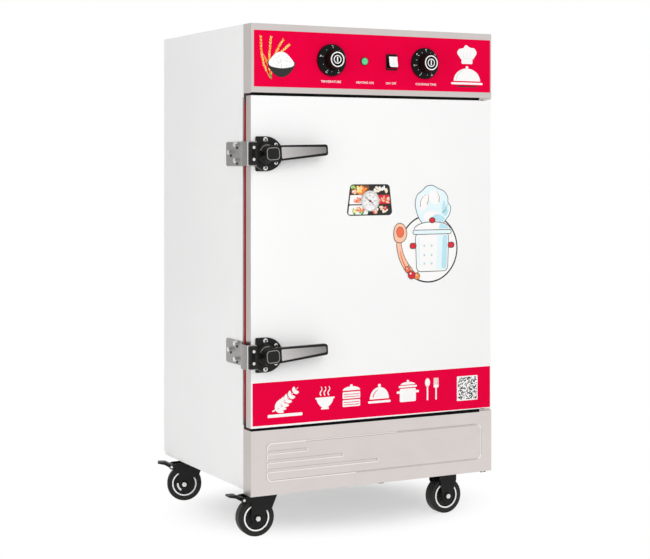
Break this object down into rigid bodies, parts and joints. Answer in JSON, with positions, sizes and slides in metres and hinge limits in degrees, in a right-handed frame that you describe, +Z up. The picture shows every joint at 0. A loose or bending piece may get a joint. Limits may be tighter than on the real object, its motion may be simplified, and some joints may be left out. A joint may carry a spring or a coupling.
{
  "type": "rice steamer cabinet",
  "caption": "Tall insulated steamer cabinet on casters: door with lever latches and dial thermometer, tray racks over a heated water tank, and a control head with knobs.",
  "frame": {"origin": "on the floor, under the middle of the whole part's bounding box", "axes": "+Z up, the door faces -Y, and +X is to the right as seen from the front"},
  "size_m": [0.7388, 0.63, 1.259],
  "materials": {
    "white_enamel": "smooth white enamel",
    "brushed_stainless": "brushed",
    "black_nylon": "moulded, satin",
    "black_paint": "black powder coat",
    "black_rubber": "matte",
    "insulating_foam": "light insulation",
    "green_lens": "clear green lens",
    "white_plastic": "glossy",
    "brass": "machined",
    "red_paint": "dipped red",
    "red_silicone": "soft silicone"
  },
  "bodies": {
    "cabinet": {"side_panel_left": "white_enamel", "side_panel_right": "white_enamel", "top_panel": "white_enamel", "back_panel": "white_enamel", "chassis": "white_enamel", "front_frame": "brushed_stainless", "chamber_liner": "brushed_stainless", "water_tank": "brushed_stainless", "insulation": "insulating_foam", "tray_rack_left": "brushed_stainless", "tray_rack_right": "brushed_stainless", "heating_element": "brushed_stainless", "float_valve": "brass", "drain_valve": "brass", "cable_gland": "black_nylon", "control_fascia": "brushed_stainless", "thermostat_body": "black_nylon", "timer_body": "black_nylon", "pilot_lamp": "green_lens", "power_switch_body": "black_nylon", "base_panel": "brushed_stainless", "strike_upper": "brushed_stainless", "strike_lower": "brushed_stainless", "strike_pad_upper": "black_nylon", "strike_pad_lower": "black_nylon", "hinge_top": "brushed_stainless", "hinge_bottom": "brushed_stainless", "tray_1": "brushed_stainless", "tray_2": "brushed_stainless", "tray_3": "brushed_stainless", "tray_4": "brushed_stainless", "tray_5": "brushed_stainless", "tray_6": "brushed_stainless", "caster_plate_front_left": "black_paint", "caster_plate_rear_left": "black_paint", "caster_fork_front_right": "black_paint", "caster_fork_rear_right": "black_paint"},
    "door": {"door_pan": "brushed_stainless", "door_skin": "white_enamel", "door_liner": "brushed_stainless", "door_gasket": "red_silicone", "thermometer_case": "brushed_stainless", "latch_base_upper": "black_nylon", "latch_base_lower": "black_nylon"},
    "float_arm": {"float_arm": "brass"},
    "drain_lever": {"drain_lever": "red_paint"},
    "thermostat_knob": {"thermostat_knob": "black_nylon"},
    "timer_knob": {"timer_knob": "black_nylon"},
    "rocker": {"power_switch_rocker": "white_plastic"},
    "needle": {"thermometer_needle": "black_paint"},
    "lever_upper": {"latch_lever_upper": "black_nylon"},
    "lever_lower": {"latch_lever_lower": "black_nylon"},
    "fork_front_left": {"caster_fork_front_left": "black_paint"},
    "fork_rear_left": {"caster_fork_rear_left": "black_paint"},
    "wheel_front_left": {"caster_wheel_front_left": "black_rubber"},
    "wheel_rear_left": {"caster_wheel_rear_left": "black_rubber"},
    "wheel_front_right": {"caster_wheel_front_right": "black_rubber"},
    "wheel_rear_right": {"caster_wheel_rear_right": "black_rubber"},
    "pedal_front_left": {"brake_pedal_front_left": "black_nylon"},
    "pedal_rear_left": {"brake_pedal_rear_left": "black_nylon"}
  },
  "joints": [
    {"name": "door_swing", "type": "hinge", "parent": "cabinet", "child": "door", "pos_m": [0.35531, -0.256, 0.273], "axis": [0, 0, 1], "range_deg": [0, 170]},
    {"name": "latch_turn_upper", "type": "hinge", "parent": "door", "child": "lever_upper", "pos_m": [-0.293, -0.27, 0.941], "axis": [0, -1, 0], "range_deg": [0, 90]},
    {"name": "latch_turn_lower", "type": "hinge", "parent": "door", "child": "lever_lower", "pos_m": [-0.293, -0.27, 0.451], "axis": [0, -1, 0], "range_deg": [0, 90]},
    {"name": "needle_turn", "type": "hinge", "parent": "door", "child": "needle", "pos_m": [-0.001, -0.274, 0.823], "axis": [0, 1, 0], "range_deg": [-78, 192]},
    {"name": "thermostat_turn", "type": "hinge", "parent": "cabinet", "child": "thermostat_knob", "pos_m": [-0.111, -0.27, 1.175], "axis": [0, 1, 0], "range_deg": [0, 300]},
    {"name": "timer_turn", "type": "hinge", "parent": "cabinet", "child": "timer_knob", "pos_m": [0.161, -0.27, 1.175], "axis": [0, 1, 0], "range_deg": [0, 330]},
    {"name": "power_switch_rock", "type": "hinge", "parent": "cabinet", "child": "rocker", "pos_m": [0.063, -0.27, 1.175], "axis": [1, 0, 0], "range_deg": [0, 20]},
    {"name": "float_rise", "type": "hinge", "parent": "cabinet", "child": "float_arm", "pos_m": [0.249, 0.2079, 0.283], "axis": [-1, 0, 0], "range_deg": [0, 25]},
    {"name": "drain_turn", "type": "hinge", "parent": "cabinet", "child": "drain_lever", "pos_m": [0.173, -0.0363, 0.084], "axis": [0, 1, 0], "range_deg": [0, 90]},
    {"name": "swivel_front_left", "type": "hinge", "parent": "cabinet", "child": "fork_front_left", "pos_m": [-0.281, -0.22, 0.1], "axis": [0, 0, 1], "continuous": true},
    {"name": "wheel_spin_front_left", "type": "hinge", "parent": "fork_front_left", "child": "wheel_front_left", "pos_m": [-0.29694, -0.21861, 0.0465], "axis": [-0.0872, -0.9962, 0], "continuous": true},
    {"name": "brake_press_front_left", "type": "hinge", "parent": "fork_front_left", "child": "pedal_front_left", "pos_m": [-0.33081, -0.21564, 0.0934], "axis": [-0.0872, -0.9962, 0], "range_deg": [0, 12]},
    {"name": "swivel_rear_left", "type": "hinge", "parent": "cabinet", "child": "fork_rear_left", "pos_m": [-0.281, 0.229, 0.1], "axis": [0, 0, 1], "continuous": true},
    {"name": "wheel_spin_rear_left", "type": "hinge", "parent": "fork_rear_left", "child": "wheel_rear_left", "pos_m": [-0.29584, 0.23499, 0.0465], "axis": [-0.3746, -0.9272, 0], "continuous": true},
    {"name": "brake_press_rear_left", "type": "hinge", "parent": "fork_rear_left", "child": "pedal_rear_left", "pos_m": [-0.32736, 0.24773, 0.0934], "axis": [-0.3746, -0.9272, 0], "range_deg": [0, 12]},
    {"name": "wheel_spin_front_right", "type": "hinge", "parent": "cabinet", "child": "wheel_front_right", "pos_m": [0.25, -0.22, 0.0465], "axis": [0, 1, 0], "continuous": true},
    {"name": "wheel_spin_rear_right", "type": "hinge", "parent": "cabinet", "child": "wheel_rear_right", "pos_m": [0.25, 0.229, 0.0465], "axis": [0, 1, 0], "continuous": true}
  ]
}
